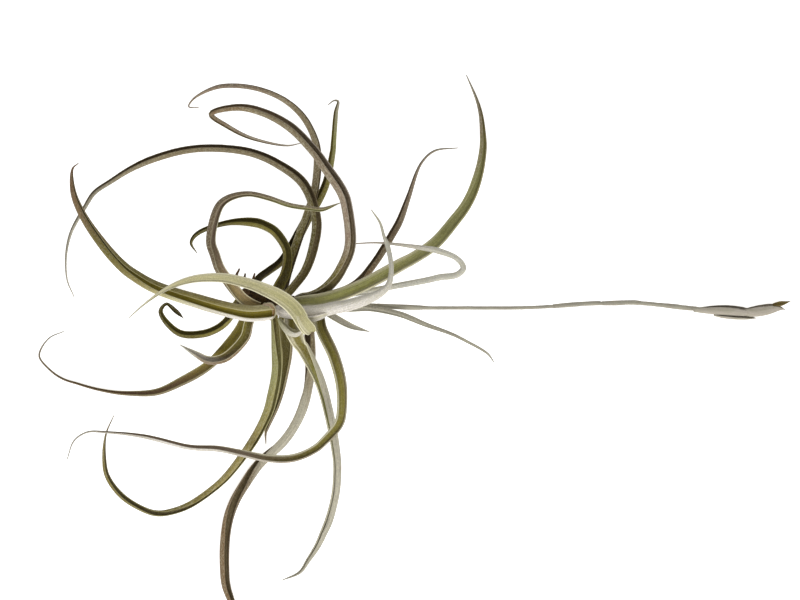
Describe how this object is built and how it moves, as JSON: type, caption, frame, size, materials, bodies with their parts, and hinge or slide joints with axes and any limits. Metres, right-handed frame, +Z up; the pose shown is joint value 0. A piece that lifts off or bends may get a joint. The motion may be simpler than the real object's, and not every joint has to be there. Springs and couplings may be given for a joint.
{
  "type": "air plant",
  "caption": "Curly air plant lying on its side: a rosette of channelled, arching silver-olive leaves and a long dry flower stalk with a papery spike.",
  "frame": {"origin": "middle of the plant's box, on the surface that it lies on", "axes": "+X along the flower stalk towards its dried spike, +Z up from the surface, +Y to the left of the stalk"},
  "size_m": [0.3921, 0.2943, 0.08],
  "materials": {
    "leaf_olive": "living leaf, olive green under fine grey scurf, matte",
    "leaf_pale": "living leaf thickly covered in pale silver-grey scurf, matte",
    "leaf_brown": "living leaf, brown-mauve under thin grey scurf, matte",
    "leaf_dark": "living leaf, dark olive, thin scurf, satin",
    "stem_bark": "rough dark brown stem",
    "dry_scale": "dry brown papery leaf bases",
    "root_stub": "wiry dry brown root ends",
    "flower_stalk": "dry grey woody stalk, finely furrowed",
    "papery_bract": "dry papery bract, grey-beige with fine veins",
    "dried_petal": "dry rolled olive-brown petals"
  },
  "bodies": {
    "root": {"stem_core": "stem_bark", "leaf_top_hook": "leaf_brown", "leaf_big_loop": "leaf_brown", "leaf_great_arch": "leaf_brown", "leaf_left_sweep": "leaf_olive", "leaf_dark_curl": "leaf_dark", "leaf_upright": "leaf_dark", "leaf_s_loop": "leaf_brown", "leaf_cross": "leaf_pale", "leaf_small_curl": "leaf_olive", "leaf_left_low": "leaf_olive", "leaf_claw": "leaf_olive", "leaf_bottom_sweep": "leaf_olive", "leaf_short_down": "leaf_olive", "leaf_long_bottom": "leaf_brown", "leaf_pale_straight": "leaf_pale", "leaf_down_arc": "leaf_olive", "leaf_short_right": "leaf_pale", "leaf_right_down": "leaf_pale", "leaf_long_right": "leaf_olive", "leaf_brown_right": "leaf_brown", "leaf_silver_loop": "leaf_pale", "leaf_white_kinked": "leaf_pale", "leaf_under_left": "leaf_olive", "leaf_under_right": "leaf_olive", "leaf_under_front": "leaf_olive", "dry_scale_1": "dry_scale", "dry_scale_2": "dry_scale", "dry_scale_3": "dry_scale", "dry_scale_4": "dry_scale", "root_stub_1": "root_stub", "root_stub_2": "root_stub", "root_stub_3": "root_stub", "flower_stalk": "flower_stalk", "stalk_bract_1": "papery_bract", "stalk_bract_2": "papery_bract", "stalk_bract_3": "papery_bract", "stalk_bract_4": "papery_bract", "spike_first_bract": "papery_bract", "spike_lower_bract": "papery_bract", "spike_main_bract": "papery_bract", "dried_petals": "dried_petal"}
  },
  "joints": []
}
